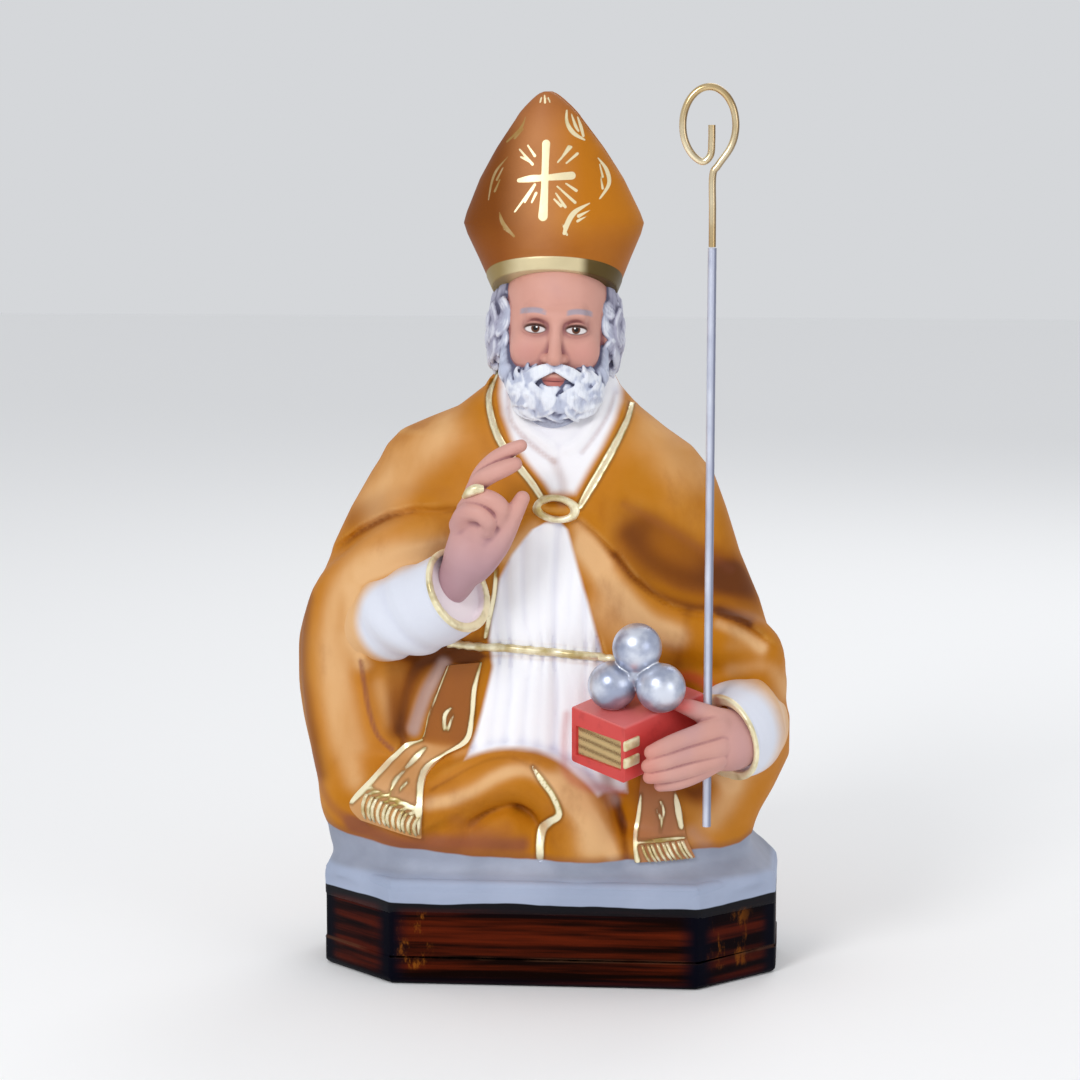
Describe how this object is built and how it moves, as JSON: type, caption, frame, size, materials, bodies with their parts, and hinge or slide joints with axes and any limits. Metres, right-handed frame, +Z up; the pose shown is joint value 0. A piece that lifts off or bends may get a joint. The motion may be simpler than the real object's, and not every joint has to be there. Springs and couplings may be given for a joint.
{
  "type": "saint bust",
  "caption": "Painted plaster bust of a blessing bishop on an octagonal plinth, holding a book with balls, with a loose wire crozier in the other hand.",
  "frame": {"origin": "middle of the underside of the plinth", "axes": "+Z up, the figure faces -Y, +X is on the viewer's right"},
  "size_m": [0.1648, 0.1031, 0.2932],
  "materials": {
    "painted_plaster": "matt hand-painted gesso: ochre cope, white alb, gold trims, mauve-pink skin, grey hair, red book, silver balls, blue-grey and dark brown plinth",
    "silver_metal": "rough silver paint on a thin tube",
    "brass_wire": "bare satin brass wire"
  },
  "bodies": {
    "root": {"bust": "painted_plaster", "crozier_shaft": "silver_metal", "crozier_crook": "brass_wire"}
  },
  "joints": []
}
